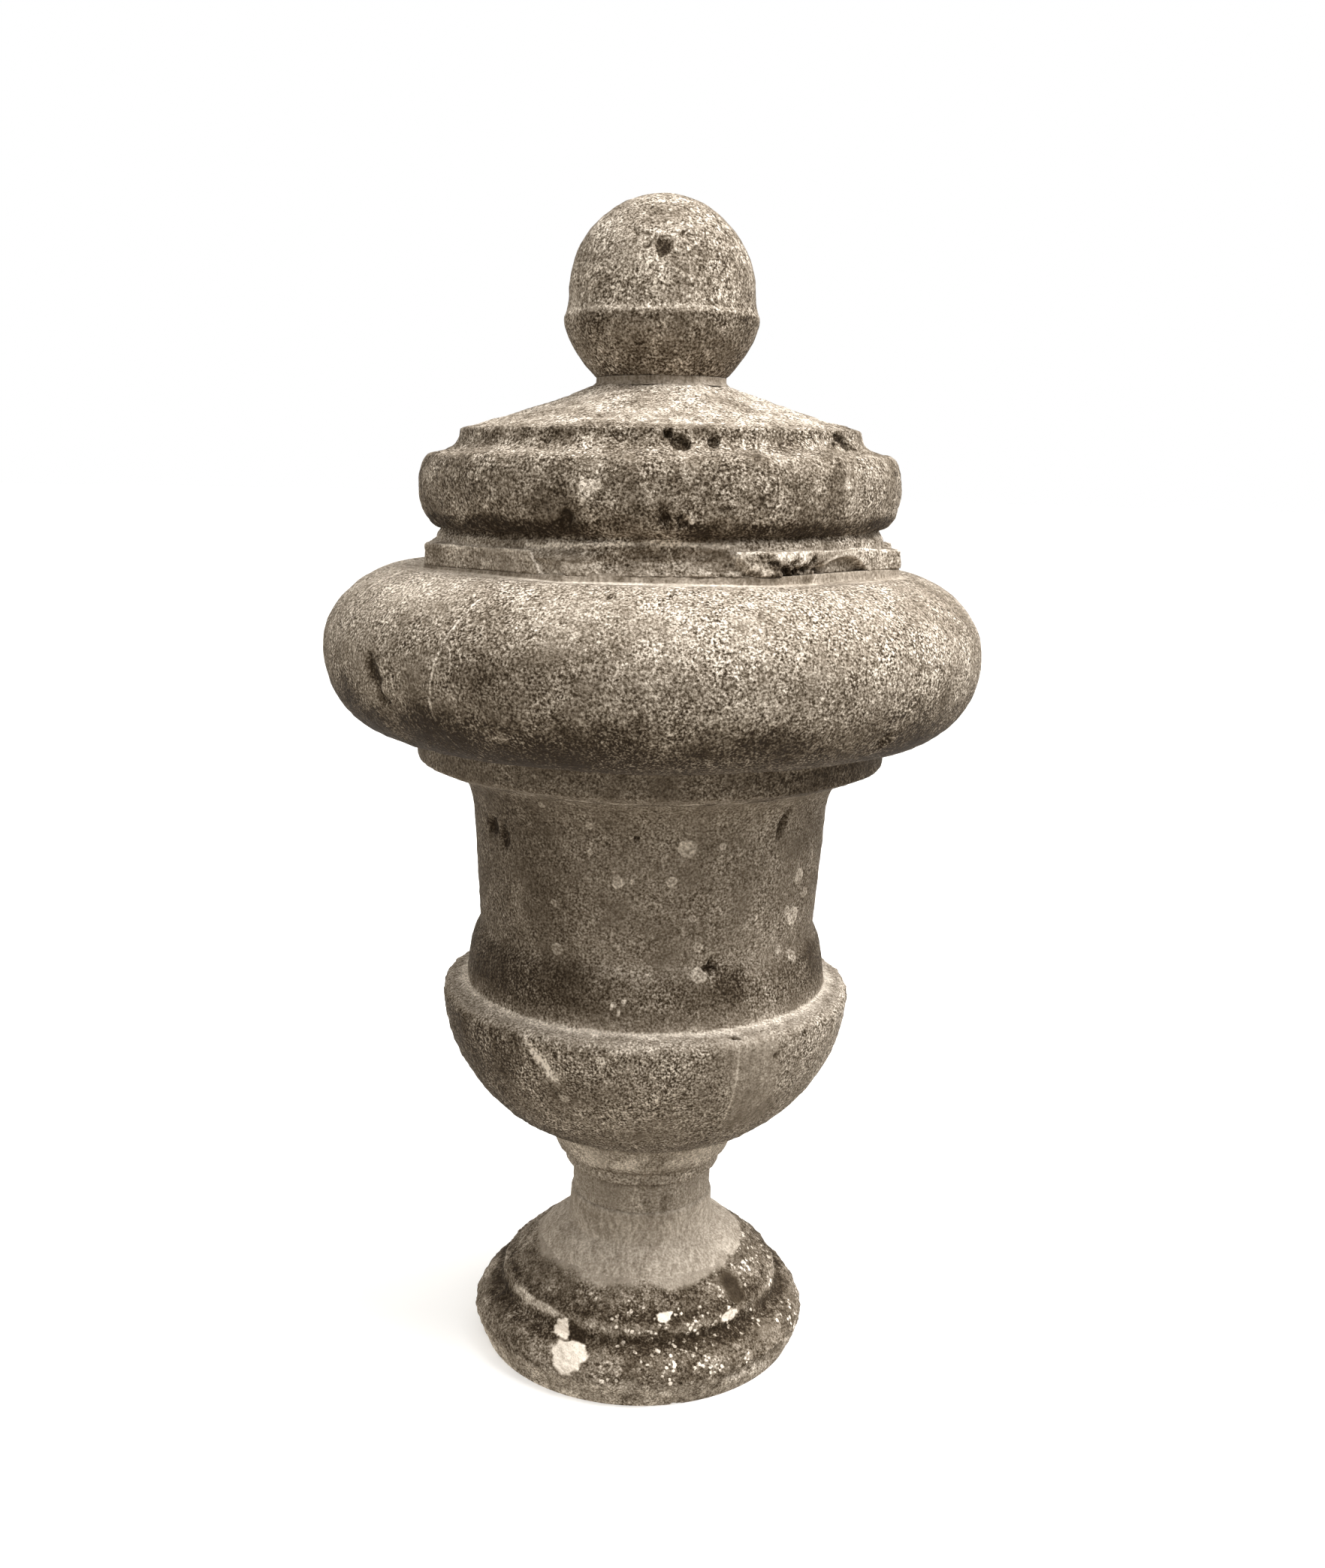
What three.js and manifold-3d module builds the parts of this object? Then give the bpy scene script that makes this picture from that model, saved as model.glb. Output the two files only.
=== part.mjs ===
// Limestone finial in the form of a covered urn: four turned stones, each bedded on the one
// below with mortar. The lid sits a little off the urn's axis and leans, and its eight-sided slab
// is broken at the front.
// Millimetres, +Z up, origin at the centre of the foot's underside, -Y is the front.

import * as THREE from 'three';
import { mergeVertices } from 'three/addons/utils/BufferGeometryUtils.js';
import Module from 'manifold-3d';

const wasm = await Module();
wasm.setup();

// Facets around a turned stone, and chords along each curved stretch of a large or small profile
const SIDES = 44;
const CURVE_STEPS = 5;
const SMALL_CURVE_STEPS = 3;
// Clearance between a stone and the mortar that was pressed against it
const GAP = 0.3;

// In the groups below a PULL is the [radius, height] towards which a curve bends.

// Foot: plinth, rounded lower step, upright upper step and a dome cut flat under the stem
const PLINTH_BASE_R = 127;
const PLINTH_R = 134.5;
const PLINTH_H = 21;
const LOWER_STEP_PULL = [129.5, 38.5];
const GROOVE_R = 113.5;
const GROOVE_Z = 42.5;
const STEP_BULGE = 2;
const STEP_R = 110;
const STEP_Z = 56;
const DOME_PULL = [95, 69.5];
const DOME_TOP_R = 82;
const DOME_TOP_Z = 80;

// Mortar flare smoothed round the stem, standing on the dome
const FLARE_LOWER_PULL = [70.5, 89];
const FLARE_WAIST_R = 61;
const FLARE_WAIST_Z = 95.5;
const FLARE_UPPER_PULL = [57.3, 100];
const FLARE_TOP_R = 57.3;
const FLARE_TOP_Z = 120;
const FLARE_LIP = 2;

// Stem with the small ring and the conical collar under the bowl
const STEM_R = 55.7;
const STEM_TOP_Z = 147;
const STEM_RING_R = 62.5;
const STEM_RING_H = 11;
const COLLAR_R = 69;
const COLLAR_TOP_R = 77;
const COLLAR_Z = 161.5;
const COLLAR_H = 21.5;

// Bowl, its ledge with a low rim, and the neck that flares out at both ends
const BOWL_BASE_R = 83;
const BOWL_BASE_Z = 186;
const BOWL_LOWER_PULL = [124, 202];
const BOWL_UPPER_PULL = [160, 246.5];
const BOWL_R = 160;
const BOWL_Z = 297;
const LEDGE_R = 156.5;
const LEDGE_Z = 300.5;
const RIM_R = 141.5;
const RIM_Z = 304;
const NECK_BASE_PULL = [139.3, 341];
const NECK_BASE_R = 130.7;
const NECK_BASE_Z = 349;
const NECK_TOP_R = 136;
const NECK_TOP_Z = 438;
const CAVETTO_PULL = [138, 473];
const CAVETTO_R = 161;
const CAVETTO_Z = 475;

// Ring under the great torus, and the torus itself
const RING_R = 178;
const RING_Z = 482;
const RING_TOP_R = 179;
const RING_TOP_Z = 500.5;
const TORUS_NECK_R = 182;
const TORUS_BASE_Z = 502.5;
const TORUS_BASE_PULL = [222.5, 502.5];
const TORUS_LOWER_PULL = [247.5, 528];
const TORUS_R = 247.5;
const TORUS_Z = 567;
const TORUS_UPPER_PULL = [247.5, 599];
const TORUS_TOP_PULL = [209.5, 626];
const TORUS_TOP_R = 190;
const BODY_TOP_Z = 626;

// Mortar bed on top of the torus, measured up from the slab's underside: its feathered foot, the
// fillet at the slab's corners, and how far it rises inwards to fill the break and the bite
const BED_FOOT_R = 201;
const BED_FOOT_H = -8;
const FILLET_PULL = [188.5, -3.5];
const FILLET_R = 183.8;
const FILLET_H = 0.6;
const FILL_R = 150;
const FILL_H = 5;

// Lid: where it stands, then its sizes measured up from the underside of its slab
const LID_Z = 630.3;
const LID_SHIFT_X = 4;
const LID_LEAN = THREE.MathUtils.degToRad(-0.8);
const SLAB_SIDES = 8;
const SLAB_ACROSS = 340;
const SLAB_H = 15.5;
const SLAB_TURN = THREE.MathUtils.degToRad(1.5);
const RECESS_R = 167.5;
const RECESS_H = 19.5;
const RECESS_TOP_R = 163.5;
const RECESS_TOP_H = 25;
const LID_TORUS_LOWER_PULL = [183.8, 27];
const LID_TORUS_UPPER_PULL = [183.8, 76];
const LID_TORUS_TOP_R = 170;
const LID_TORUS_TOP_H = 78;
const CORNICE_FOOT_R = 161.5;
const CORNICE_FOOT_H = 80;
const CORNICE_PULL = [148.5, 83];
const CORNICE_R = 148.5;
const CORNICE_TOP_H = 95.5;
const CONE_PULL = [97, 108.5];
const CONE_TOP_R = 52;
const CONE_TOP_H = 127;

// Break along the slab's front face: how far it reaches to the left and right of the face's middle,
// its depth, the length over which it drops in, and how high it goes
const BREAK_LEFT = 84;
const BREAK_RIGHT = 52;
const BREAK_DEPTH = 6;
const BREAK_RAMP = 12;
const BREAK_TOP_H = 22;

// Arched bite out of the lower edge of the face to the right of the front
const BITE_ANGLE = THREE.MathUtils.degToRad(48);
const BITE_WIDTH = 57;
const BITE_H = 10.6;
const BITE_DEPTH = 14;
const BITE_SIDES = 24;

// How far a cutter reaches past the slab's face
const CUTTER_REACH = 20;

// Mortar collar and ball with its sharp ridge, measured on the lid's axis like the lid
const BALL_COLLAR_FOOT_R = 51;
const BALL_COLLAR_FOOT_H = 130;
const BALL_NECK_R = 48;
const BALL_BASE_H = 134;
const BALL_LOWER_PULL = [58, 143];
const BALL_UPPER_PULL = [72, 162.5];
const RIDGE_R = 72;
const RIDGE_H = 176.5;
const RIDGE_PULL = [68.9, 182.5];
const BALL_DOME_R = 68.5;
const BALL_DOME_H = 193;
const BALL_TOP_H = 263;

// Colours of the stones and of the mortar
const DARK_STONE = 0x74685a;
const MID_STONE = 0x8a7e6c;
const PALE_STONE = 0x9c907d;
const MORTAR = 0xa69b89;
const STONE_ROUGHNESS = 0.95;
const MORTAR_ROUGHNESS = 0.9;

// A turned profile starts and ends on the axis and runs from the underside up.
function startProfile(radius, z) {
  const profile = new THREE.Path();
  profile.moveTo(0, z);
  profile.lineTo(radius, z);
  return profile;
}

function turn(profile, steps) {
  const geometry = new THREE.LatheGeometry(profile.getPoints(steps), SIDES);
  return geometry.rotateX(Math.PI / 2);
}

// Joins and cuts work on closed solids whose corners are shared.
function toSolid(geometry) {
  const bare = geometry.clone();
  bare.deleteAttribute('normal');
  bare.deleteAttribute('uv');
  const merged = mergeVertices(bare, 1e-3);
  const corners = merged.index.array;
  const triangles = [];
  for (let i = 0; i < corners.length; i += 3) {
    const [a, b, c] = corners.slice(i, i + 3);
    if (a !== b && b !== c && c !== a) triangles.push(a, b, c);
  }
  return new wasm.Manifold(new wasm.Mesh({
    numProp: 3,
    vertProperties: new Float32Array(merged.attributes.position.array),
    triVerts: new Uint32Array(triangles),
  }));
}

function toGeometry(solid) {
  const { vertProperties, triVerts } = solid.getMesh();
  const geometry = new THREE.BufferGeometry();
  geometry.setAttribute('position', new THREE.BufferAttribute(vertProperties, 3));
  geometry.setIndex(new THREE.BufferAttribute(triVerts, 1));
  geometry.computeVertexNormals();
  return geometry;
}

function makeFoot() {
  const profile = startProfile(PLINTH_BASE_R, 0);
  profile.lineTo(PLINTH_R, PLINTH_H);
  profile.quadraticCurveTo(...LOWER_STEP_PULL, GROOVE_R, GROOVE_Z);
  profile.lineTo(STEP_R + STEP_BULGE, (GROOVE_Z + STEP_Z) / 2);
  profile.lineTo(STEP_R, STEP_Z);
  profile.quadraticCurveTo(...DOME_PULL, DOME_TOP_R, DOME_TOP_Z);
  profile.lineTo(0, DOME_TOP_Z);
  return turn(profile, CURVE_STEPS);
}

// The flare leans on the stem and on the dome's flat top, with the clearance on both.
function makeFootMortar() {
  const base = DOME_TOP_Z + GAP;
  const inner = STEM_R + GAP;
  const profile = new THREE.Path();
  profile.moveTo(inner, base);
  profile.lineTo(DOME_TOP_R, base);
  profile.quadraticCurveTo(...FLARE_LOWER_PULL, FLARE_WAIST_R, FLARE_WAIST_Z);
  profile.quadraticCurveTo(...FLARE_UPPER_PULL, FLARE_TOP_R, FLARE_TOP_Z);
  profile.lineTo(inner, FLARE_TOP_Z + FLARE_LIP);
  profile.lineTo(inner, base);
  return turn(profile, SMALL_CURVE_STEPS);
}

function makeBody() {
  const profile = startProfile(STEM_R, DOME_TOP_Z + GAP);
  // stem, its ring and the collar
  profile.lineTo(STEM_R, STEM_TOP_Z);
  profile.lineTo(STEM_RING_R, STEM_TOP_Z + 1);
  profile.lineTo(STEM_RING_R, STEM_TOP_Z + STEM_RING_H);
  profile.lineTo(COLLAR_R, COLLAR_Z);
  profile.lineTo(COLLAR_TOP_R, COLLAR_Z + COLLAR_H);
  // bowl, its worn edge, the ledge and the rim
  profile.lineTo(BOWL_BASE_R, BOWL_BASE_Z);
  profile.bezierCurveTo(...BOWL_LOWER_PULL, ...BOWL_UPPER_PULL, BOWL_R, BOWL_Z);
  profile.lineTo(LEDGE_R, LEDGE_Z);
  profile.lineTo(RIM_R, RIM_Z);
  // neck
  profile.quadraticCurveTo(...NECK_BASE_PULL, NECK_BASE_R, NECK_BASE_Z);
  profile.lineTo(NECK_TOP_R, NECK_TOP_Z);
  profile.quadraticCurveTo(...CAVETTO_PULL, CAVETTO_R, CAVETTO_Z);
  // ring and great torus
  profile.lineTo(RING_R, RING_Z);
  profile.lineTo(RING_TOP_R, RING_TOP_Z);
  profile.lineTo(TORUS_NECK_R, TORUS_BASE_Z);
  profile.bezierCurveTo(...TORUS_BASE_PULL, ...TORUS_LOWER_PULL, TORUS_R, TORUS_Z);
  profile.bezierCurveTo(...TORUS_UPPER_PULL, ...TORUS_TOP_PULL, TORUS_TOP_R, BODY_TOP_Z);
  profile.lineTo(0, BODY_TOP_Z);
  return turn(profile, CURVE_STEPS);
}

// An eight-sided slab with one face to the front.
function makeSlab(gap) {
  const radius = (SLAB_ACROSS / 2 + gap) / Math.cos(Math.PI / SLAB_SIDES);
  const height = SLAB_H + gap;
  const cornerAngle = Math.PI / SLAB_SIDES;
  const slab = new THREE.CylinderGeometry(radius, radius, height, SLAB_SIDES, 1, false, cornerAngle);
  slab.rotateX(Math.PI / 2).translate(0, 0, height / 2 - gap);
  return toSolid(slab.rotateZ(SLAB_TURN));
}

// The break starts on the face to the left, takes off its corner and ends within the front face.
function makeBreakCutter(gap) {
  const face = SLAB_ACROSS / 2;
  const floor = face - BREAK_DEPTH + gap;
  const leftFace = face * Math.SQRT2 - BREAK_LEFT;
  const plan = [
    new THREE.Vector2(-BREAK_LEFT, -leftFace),
    new THREE.Vector2(-BREAK_LEFT - CUTTER_REACH, -leftFace - CUTTER_REACH),
    new THREE.Vector2(BREAK_RIGHT, -face - CUTTER_REACH),
    new THREE.Vector2(BREAK_RIGHT, -face),
    new THREE.Vector2(BREAK_RIGHT - BREAK_RAMP, -floor),
    new THREE.Vector2(-BREAK_LEFT + BREAK_RAMP, -floor),
  ];
  const options = { depth: BREAK_TOP_H + CUTTER_REACH, bevelEnabled: false };
  const cutter = new THREE.ExtrudeGeometry(new THREE.Shape(plan), options);
  return toSolid(cutter.translate(0, 0, -CUTTER_REACH).rotateZ(SLAB_TURN));
}

// A drum lying radially, whose crown stands BITE_H above the slab's underside.
function makeBiteCutter(gap) {
  const radius = (BITE_WIDTH ** 2 / 4 + BITE_H ** 2) / (2 * BITE_H);
  const length = 2 * BITE_DEPTH;
  const drum = new THREE.CylinderGeometry(radius - gap, radius - gap, length, BITE_SIDES);
  drum.translate(0, -SLAB_ACROSS / 2, BITE_H - radius);
  drum.rotateZ(BITE_ANGLE);
  return toSolid(drum);
}

// The lid, or with a gap the slightly larger block that its mortar stays clear of.
function makeLidSolid(gap) {
  const profile = startProfile(RECESS_R, SLAB_H / 2);
  profile.lineTo(RECESS_R, RECESS_H);
  profile.lineTo(RECESS_TOP_R, RECESS_TOP_H);
  profile.bezierCurveTo(
    ...LID_TORUS_LOWER_PULL,
    ...LID_TORUS_UPPER_PULL,
    LID_TORUS_TOP_R,
    LID_TORUS_TOP_H,
  );
  profile.lineTo(CORNICE_FOOT_R, CORNICE_FOOT_H);
  profile.quadraticCurveTo(...CORNICE_PULL, CORNICE_R, CORNICE_TOP_H);
  profile.quadraticCurveTo(...CONE_PULL, CONE_TOP_R, CONE_TOP_H);
  profile.lineTo(0, CONE_TOP_H);
  const whole = toSolid(turn(profile, CURVE_STEPS)).add(makeSlab(gap));
  return whole.subtract(makeBreakCutter(gap)).subtract(makeBiteCutter(gap));
}

// The bed leans with the lid, and is cut level where it lies on the torus.
function makeLidMortar(lidPlace) {
  const profile = startProfile(BED_FOOT_R, BED_FOOT_H);
  profile.quadraticCurveTo(...FILLET_PULL, FILLET_R, FILLET_H);
  profile.lineTo(FILL_R, FILL_H);
  profile.lineTo(0, FILL_H);
  const bed = toSolid(turn(profile, SMALL_CURVE_STEPS).applyMatrix4(lidPlace));
  const block = toSolid(toGeometry(makeLidSolid(GAP)).applyMatrix4(lidPlace));
  return toGeometry(bed.trimByPlane([0, 0, 1], BODY_TOP_Z + GAP).subtract(block));
}

function makeBallMortar() {
  const top = BALL_BASE_H - GAP;
  const profile = startProfile(BALL_COLLAR_FOOT_R, CONE_TOP_H + GAP);
  profile.lineTo(BALL_NECK_R, BALL_COLLAR_FOOT_H);
  profile.lineTo(BALL_NECK_R, top);
  profile.lineTo(0, top);
  return turn(profile, SMALL_CURVE_STEPS);
}

function makeBall() {
  const profile = startProfile(BALL_NECK_R, BALL_BASE_H);
  profile.bezierCurveTo(...BALL_LOWER_PULL, ...BALL_UPPER_PULL, RIDGE_R, RIDGE_H);
  profile.quadraticCurveTo(...RIDGE_PULL, BALL_DOME_R, BALL_DOME_H);
  const rise = BALL_TOP_H - BALL_DOME_H;
  profile.absellipse(0, BALL_DOME_H, BALL_DOME_R, rise, 0, Math.PI / 2, false);
  return turn(profile, SMALL_CURVE_STEPS + 1);
}

function addPiece(group, name, geometry, colour, roughness) {
  const material = new THREE.MeshStandardMaterial({ color: colour, roughness, metalness: 0 });
  const piece = new THREE.Mesh(geometry, material);
  piece.name = name;
  group.add(piece);
}

const finial = new THREE.Group();
addPiece(finial, 'foot', makeFoot(), DARK_STONE, STONE_ROUGHNESS);
addPiece(finial, 'foot_mortar', makeFootMortar(), MORTAR, MORTAR_ROUGHNESS);
addPiece(finial, 'body', makeBody(), MID_STONE, STONE_ROUGHNESS);

const lidGroup = new THREE.Group();
lidGroup.position.set(LID_SHIFT_X, 0, LID_Z);
lidGroup.rotation.y = LID_LEAN;
lidGroup.updateMatrix();
addPiece(finial, 'lid_mortar', makeLidMortar(lidGroup.matrix), MORTAR, MORTAR_ROUGHNESS);
addPiece(lidGroup, 'lid', toGeometry(makeLidSolid(0)), PALE_STONE, STONE_ROUGHNESS);
addPiece(lidGroup, 'ball_mortar', makeBallMortar(), MORTAR, MORTAR_ROUGHNESS);
addPiece(lidGroup, 'ball', makeBall(), PALE_STONE, STONE_ROUGHNESS);
finial.add(lidGroup);

export default finial;
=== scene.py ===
"""Limestone finial in the form of a covered urn, dressed as weathered stone bedded on mortar.

Each piece is one turned mesh that follows its solid's profile, in the frame's own coordinates.
Wear, breaks, pits and chips are shaped in the mesh; grain, lichen, stains and painted shade and light are in
the materials.
Profiles and marks are in millimetres, and angles are degrees from the front towards the right.
"""
import math

import bpy
import numpy as np
from mathutils import Matrix, Vector, noise


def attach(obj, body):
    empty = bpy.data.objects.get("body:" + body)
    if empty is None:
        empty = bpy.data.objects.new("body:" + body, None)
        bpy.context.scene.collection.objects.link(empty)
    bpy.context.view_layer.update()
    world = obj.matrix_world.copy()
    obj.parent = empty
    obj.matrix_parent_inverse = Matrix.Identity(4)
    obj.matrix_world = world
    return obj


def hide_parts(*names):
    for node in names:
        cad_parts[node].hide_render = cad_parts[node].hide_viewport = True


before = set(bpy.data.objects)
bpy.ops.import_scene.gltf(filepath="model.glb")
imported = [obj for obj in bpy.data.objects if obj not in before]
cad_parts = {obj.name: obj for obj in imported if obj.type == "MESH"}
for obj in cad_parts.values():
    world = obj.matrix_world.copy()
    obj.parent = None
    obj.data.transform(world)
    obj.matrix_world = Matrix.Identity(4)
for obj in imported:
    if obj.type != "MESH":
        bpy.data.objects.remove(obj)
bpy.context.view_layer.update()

MM = 0.001
UP = np.array((0, 0, 1.0))

# Spacing of a profile's first sampling, and how much closer rows stand on small mouldings and columns in front
PROFILE_STEP = 0.5
CLOSER = 2.5
FRONT_BIAS = 0.55

# Lid: where its slab's underside stands on the urn and how far it leans
LID_SHIFT_X = 4.0
LID_Z = 630.3
LID_LEAN = math.radians(-0.8)
LID_PLACE = Matrix.Translation((LID_SHIFT_X, 0, LID_Z)) @ Matrix.Rotation(LID_LEAN, 4, "Y")

# Slab: eight sides, its front face turned a little, with the recess standing on it
SLAB_FACE = 170.0
SLAB_CORNER = SLAB_FACE / math.cos(math.pi / 8)
SLAB_TURN = 1.5
SLAB_H = 15.5
RECESS_R = 167.5
SLAB_ARC = SLAB_H + SLAB_CORNER - RECESS_R

# Mortar bed: its inner edge under the slab, its outer edge below the torus's skin, and its two levels
BED_INNER_R = 164.0
BED_OUTER_R = 203.0
BED_LOW_Z = 625.8
BED_HIGH_Z = 630.2

# Break along the slab's front face, and the arched bite in the face right of it, over mortar
BREAK_LEFT = -82.0
BREAK_RIGHT = 56.0
BREAK_DEPTH = 6.0
BITE_OFFSET = 4.4
BITE_WIDTH = 57.0
BITE_H = 10.6
BITE_DEPTH = 6.0

# Camera: the photograph's viewpoint, its tilts and its lens on a 36 mm sensor
CAMERA_DISTANCE = 1.2
CAMERA_HEIGHT = 0.7056
CAMERA_PITCH = math.radians(11.7)
CAMERA_YAW = math.radians(0.473)
CAMERA_ROLL = math.radians(-1.339)
CAMERA_LENS = 36.03


# Profiles


class Profile:
    """A stone's outline as [radius, height], from its underside up."""

    def __init__(self, radius, height):
        self.points = [np.array((radius, height), float)]

    def to(self, *stops):
        """A straight line to one stop, or a Bezier curve by one or two pulls to the last stop."""
        knots = [self.points[-1]] + [np.array(stop, float) for stop in stops]
        length = sum(np.linalg.norm(b - a) for a, b in zip(knots, knots[1:]))
        order = len(knots) - 1
        for t in np.linspace(0, 1, max(2, int(length / PROFILE_STEP)) + 1)[1:]:
            shares = [math.comb(order, k) * t**k * (1 - t) ** (order - k) for k in range(order + 1)]
            self.points.append(sum(share * knot for share, knot in zip(shares, knots)))
        return self

    def dome(self, top):
        """A quarter of an ellipse from the last point up to the axis."""
        radius, height = self.points[-1]
        for a in np.linspace(0, math.pi / 2, int(2 * radius / PROFILE_STEP))[1:-1]:
            self.points.append(np.array((radius * math.cos(a), height + (top - height) * math.sin(a))))
        return self


def evenly(points, count, close=()):
    """The outline resampled to count points, even but for height ranges where they stand closer."""
    points = np.asarray(points)
    spans = np.linalg.norm(np.diff(points, axis=0), axis=1)
    for low, high in close:
        spans[(points[1:, 1] > low) & (points[1:, 1] < high)] *= CLOSER
    along = np.r_[0, np.cumsum(spans)]
    places = np.linspace(0, along[-1], count)
    return np.stack([np.interp(places, along, points[:, k]) for k in (0, 1)], 1)


def worn(points, wear):
    """The outline with its arrises rounded over about wear millimetres, its ends kept."""
    length = np.linalg.norm(np.diff(points, axis=0), axis=1).sum()
    even = evenly(points, int(length / PROFILE_STEP) + 1)
    reach = int(3 * wear / PROFILE_STEP)
    kernel = np.exp(-0.5 * (np.arange(-reach, reach + 1) * PROFILE_STEP / wear) ** 2)
    kernel /= kernel.sum()
    padded = np.pad(even, ((reach, reach), (0, 0)), mode="reflect", reflect_type="odd")
    return np.stack([np.convolve(padded[:, k], kernel, "valid") for k in (0, 1)], 1)


def step(low, high, values):
    """A smooth rise from 0 at low to 1 at high."""
    t = np.clip((values - low) / (high - low), 0, 1)
    return t * t * (3 - 2 * t)


def band(low, high, soft, values):
    """1 between low and high, with soft edges."""
    return step(low - soft, low + soft, values) * (1 - step(high - soft, high + soft, values))


# Turned meshes


class Turned:
    """A grid of rows up a profile and columns round it, with what is carved and stained into it and the shade
    and light painted on it.
    """

    def __init__(self, profile, rows, columns, wear, close=()):
        self.profile = evenly(worn(profile.points, wear), rows, close)
        turn = np.linspace(-math.pi, math.pi, columns, endpoint=False)
        angle = turn - FRONT_BIAS * np.sin(turn)
        shape = (rows, columns)
        self.angle = np.broadcast_to(angle[None, :], shape)
        self.degrees = np.degrees(self.angle)
        along = np.r_[0, np.cumsum(np.linalg.norm(np.diff(self.profile, axis=0), axis=1))]
        self.along = np.broadcast_to(along[:, None], shape)
        self.radius = np.broadcast_to(self.profile[:, :1], shape)
        self.height = np.broadcast_to(self.profile[:, 1:], shape)
        self.outward = np.stack([np.sin(self.angle), -np.cos(self.angle), 0 * self.angle], -1)
        slope = np.gradient(self.profile, axis=0)
        slope /= np.linalg.norm(slope, axis=1)[:, None]
        self.normal = slope[:, 1, None, None] * self.outward - slope[:, 0, None, None] * UP
        self.points = self.radius[..., None] * self.outward + self.height[..., None] * UP
        self.lift = np.zeros(shape)
        self.inset = np.zeros(shape)
        self.raised = np.zeros(shape)
        self.marks = {
            "tone": np.full(shape, 0.5),
            "grain": np.ones(shape),
            "fleck": np.zeros(shape),
            "pore": np.zeros(shape),
        }

    def waves(self, size, octaves, seed):
        """Fractal noise over the surface, from about -1 to 1, whose broadest waves are size long."""
        places = self.points.reshape(-1, 3) / size + seed * np.array((17.3, -9.1, 5.7))
        values = [noise.fractal(place, 1.0, 2.0, octaves) for place in places.tolist()]
        return np.array(values).reshape(self.lift.shape)

    def row_at(self, height):
        return int(np.argmin(np.abs(self.profile[:, 1] - height)))

    def spot(self, angle, height):
        """The surface point at an angle and height, in metres."""
        radius = self.profile[self.row_at(height), 0]
        turn = math.radians(angle)
        return Vector((radius * math.sin(turn), -radius * math.cos(turn), height)) * MM

    def reach(self, angle, height, half_width, half_height, lean=0.0, ragged=0.35):
        """Distance from a mark's centre in the surface: 0 in the middle, 1 on its ragged outline."""
        turn = (self.angle - math.radians(angle) + math.pi) % (2 * math.pi) - math.pi
        across = self.radius * turn
        up = self.along - self.along[self.row_at(height)]
        tilt = math.radians(lean)
        wide = (across * math.cos(tilt) + up * math.sin(tilt)) / half_width
        tall = (up * math.cos(tilt) - across * math.sin(tilt)) / half_height
        distance = np.hypot(wide, tall)
        near = distance < 2.5
        places = self.points[near] / (0.5 * (half_width + half_height)) + angle
        values = [noise.fractal(place, 1.0, 2.0, 3) for place in places.tolist()]
        distance[near] += ragged * np.array(values)
        return distance

    def pit(self, depth, tone, *place, **options):
        """Sinks a rough hollow, and gives its floor a tone."""
        inside = 1 - step(0.6, 1.1, self.reach(*place, **options))
        self.lift = self.lift - depth * inside
        self.blend("tone", tone, inside)

    def patch_mark(self, mark, amount, *place, soft=0.25, **options):
        """Moves a mark's value to an amount inside a patch."""
        self.blend(mark, amount, 1 - step(1 - soft, 1 + soft, self.reach(*place, **options)))

    def blend(self, mark, amount, share):
        """Moves a mark's value to an amount by a share."""
        self.marks[mark] = self.marks[mark] + (amount - self.marks[mark]) * share

    def build(self, node, material, place=None):
        """The closed mesh, which takes the solid's place in the frame."""
        rows, columns = self.lift.shape
        points = self.points - self.inset[..., None] * self.outward + self.lift[..., None] * self.normal
        points = points + self.raised[..., None] * UP
        ends = np.stack([points[0].mean(0), points[-1].mean(0)])
        vertices = np.concatenate([points.reshape(-1, 3), ends])
        grid = np.arange(rows * columns).reshape(rows, columns)
        right = np.roll(grid, -1, axis=1)
        quads = np.stack([grid[:-1], right[:-1], right[1:], grid[1:]], -1).reshape(-1, 4)
        low = np.full(columns, rows * columns)
        low_fan = np.stack([low, right[0], grid[0]], -1)
        high_fan = np.stack([low + 1, grid[-1], right[-1]], -1)
        mesh = bpy.data.meshes.new(node + "_stone")
        mesh.from_pydata(vertices.tolist(), [], quads.tolist() + low_fan.tolist() + high_fan.tolist())
        if place is not None:
            mesh.transform(place)
        mesh.transform(Matrix.Scale(MM, 4))
        mesh.polygons.foreach_set("use_smooth", [True] * len(mesh.polygons))
        for mark, values in self.marks.items():
            attribute = mesh.attributes.new(mark, "FLOAT", "POINT")
            end_values = values[[0, -1]].mean(1)
            attribute.data.foreach_set("value", np.r_[values.ravel(), end_values].astype(np.float32))
        mesh.materials.append(material)
        piece = bpy.data.objects.new(mesh.name, mesh)
        bpy.context.scene.collection.objects.link(piece)
        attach(piece, "root")
        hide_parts(node)


# Materials


def add(tree, kind, inputs=(), **settings):
    """A shader node, with its settings, and its inputs as values or as other nodes' outputs."""
    made = tree.nodes.new(kind)
    for key, value in settings.items():
        setattr(made, key, value)
    for key, value in dict(inputs).items():
        if isinstance(value, bpy.types.NodeSocket):
            tree.links.new(value, made.inputs[key])
        else:
            made.inputs[key].default_value = value
    return made


def calc(tree, operation, a, b=0.0, c=0.0):
    return add(tree, "ShaderNodeMath", {0: a, 1: b, 2: c}, operation=operation).outputs[0]


def rise(tree, value, low, high):
    """A smooth rise from 0 at low to 1 at high."""
    inputs = {"Value": value, "From Min": low, "From Max": high}
    return add(tree, "ShaderNodeMapRange", inputs, interpolation_type="SMOOTHSTEP").outputs[0]


def new_material(name):
    material = bpy.data.materials.new(name)
    material.use_nodes = True
    tree = material.node_tree
    tree.nodes.clear()
    return material, tree


def mark_value(tree, name):
    return add(tree, "ShaderNodeAttribute", attribute_name=name).outputs["Fac"]


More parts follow.
